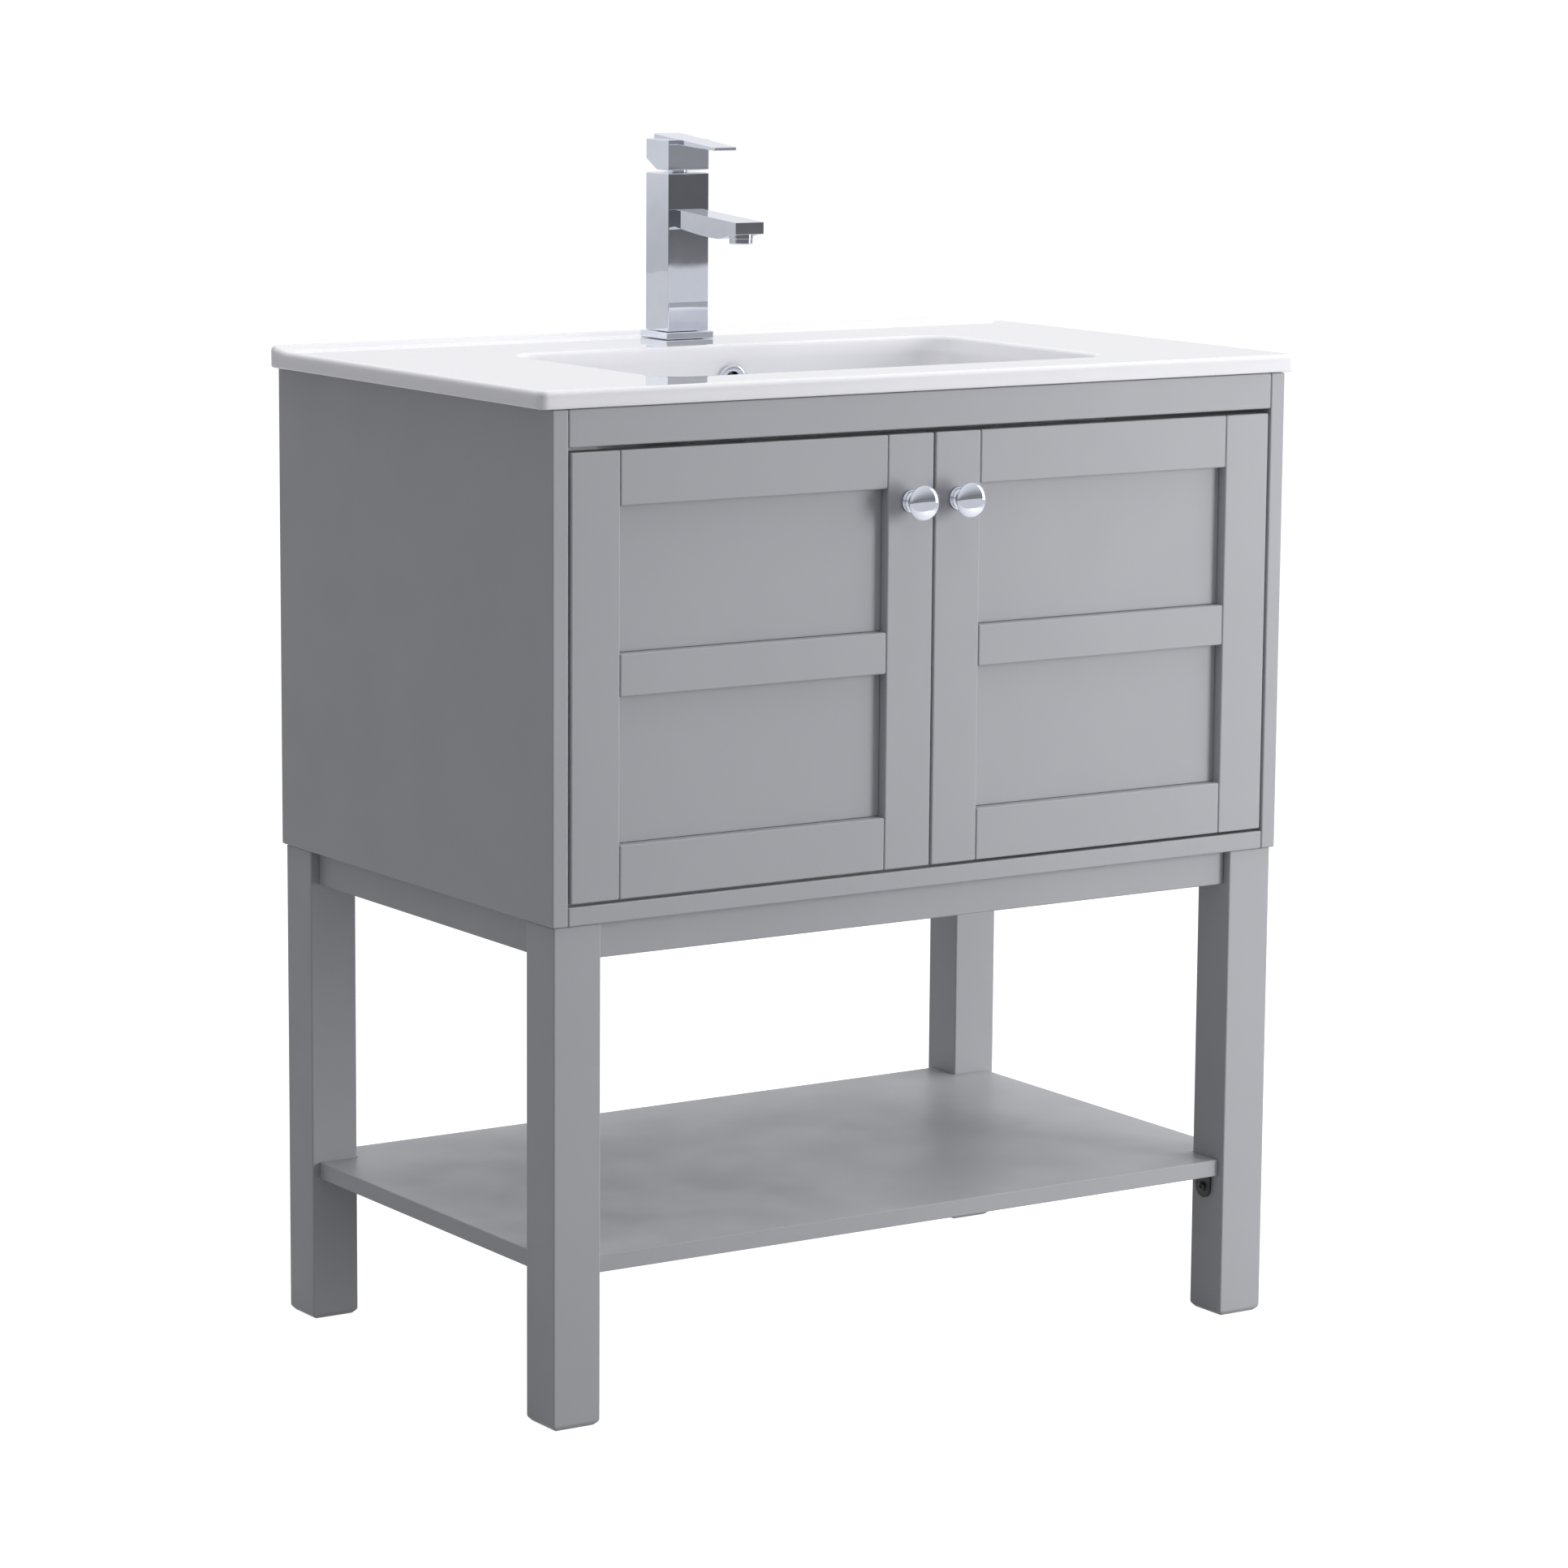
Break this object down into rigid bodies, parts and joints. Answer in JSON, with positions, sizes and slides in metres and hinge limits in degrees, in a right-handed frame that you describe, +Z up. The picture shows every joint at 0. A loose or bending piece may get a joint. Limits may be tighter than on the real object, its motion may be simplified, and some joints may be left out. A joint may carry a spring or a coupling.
{
  "type": "bathroom vanity cabinet",
  "caption": "Free-standing bathroom vanity: painted cabinet with inset framed doors and round knobs, on square legs with a low shelf, under a ceramic basin top with a square lever tap.",
  "frame": {"origin": "centre of the bounding box footprint, on the floor under the four legs", "axes": "+Z up, front with the doors faces -Y, +X to the viewer's right"},
  "size_m": [0.774, 0.4938, 1.0505],
  "materials": {
    "grey_paint": "satin light grey paint on board",
    "board": "primed board, matt",
    "ceramic": "glossy white glaze",
    "chrome": "polished chrome plate",
    "nickel_steel": "nickel-plated steel",
    "black_steel": "black satin coating"
  },
  "bodies": {
    "cabinet": {"left_side_panel": "grey_paint", "right_side_panel": "grey_paint", "carcass_floor": "grey_paint", "top_front_rail": "grey_paint", "upper_back_rail": "board", "lower_back_rail": "board", "front_apron": "grey_paint", "back_apron": "grey_paint", "left_apron": "grey_paint", "right_apron": "grey_paint", "shelf": "grey_paint", "front_left_leg": "grey_paint", "front_right_leg": "grey_paint", "back_left_leg": "grey_paint", "back_right_leg": "grey_paint", "front_left_shelf_bracket": "black_steel", "front_right_shelf_bracket": "black_steel", "back_left_shelf_bracket": "black_steel", "back_right_shelf_bracket": "black_steel", "front_left_bracket_screw": "black_steel", "front_right_bracket_screw": "black_steel", "back_left_bracket_screw": "black_steel", "back_right_bracket_screw": "black_steel", "left_lower_hinge_arm": "nickel_steel", "left_upper_hinge_arm": "nickel_steel", "right_lower_hinge_arm": "nickel_steel", "right_upper_hinge_arm": "nickel_steel", "basin": "ceramic", "overflow_ring": "chrome", "drain_flange": "chrome", "drain_tailpiece": "chrome", "tap_base_plate": "chrome", "tap_body": "chrome", "tap_aerator": "chrome", "tap_shank": "nickel_steel", "tap_fixing_nut": "nickel_steel"},
    "left_door": {"left_door_hinge_stile": "grey_paint", "left_door_knob_stile": "grey_paint", "left_door_bottom_rail": "grey_paint", "left_door_middle_rail": "grey_paint", "left_door_top_rail": "grey_paint", "left_door_lower_panel": "grey_paint", "left_door_upper_panel": "grey_paint", "left_knob": "chrome", "left_lower_hinge_cup": "nickel_steel", "left_upper_hinge_cup": "nickel_steel"},
    "right_door": {"right_door_hinge_stile": "grey_paint", "right_door_knob_stile": "grey_paint", "right_door_bottom_rail": "grey_paint", "right_door_middle_rail": "grey_paint", "right_door_top_rail": "grey_paint", "right_door_lower_panel": "grey_paint", "right_door_upper_panel": "grey_paint", "right_knob": "chrome", "right_lower_hinge_cup": "nickel_steel", "right_upper_hinge_cup": "nickel_steel"},
    "tap_cartridge": {"tap_cartridge": "chrome"},
    "tap_handle": {"tap_handle": "chrome"},
    "drain_stopper": {"drain_stopper": "chrome"}
  },
  "joints": [
    {"name": "left_door_hinge", "type": "hinge", "parent": "cabinet", "child": "left_door", "pos_m": [-0.3575, -0.2231, 0.63065], "axis": [0, 0, -1], "range_deg": [0, 105]},
    {"name": "right_door_hinge", "type": "hinge", "parent": "cabinet", "child": "right_door", "pos_m": [0.3575, -0.2231, 0.63065], "axis": [0, 0, 1], "range_deg": [0, 105]},
    {"name": "tap_handle_turn", "type": "hinge", "parent": "cabinet", "child": "tap_cartridge", "pos_m": [0, 0.1869, 1.0185], "axis": [0, 0, 1], "range_deg": [-45, 45]},
    {"name": "tap_handle_lift", "type": "hinge", "parent": "tap_cartridge", "child": "tap_handle", "pos_m": [0, 0.1869, 1.03225], "axis": [-1, 0, 0], "range_deg": [0, 22]},
    {"name": "stopper_lift", "type": "slide", "parent": "cabinet", "child": "drain_stopper", "axis": [0, 0, 1], "range_m": [0, 0.008]}
  ]
}
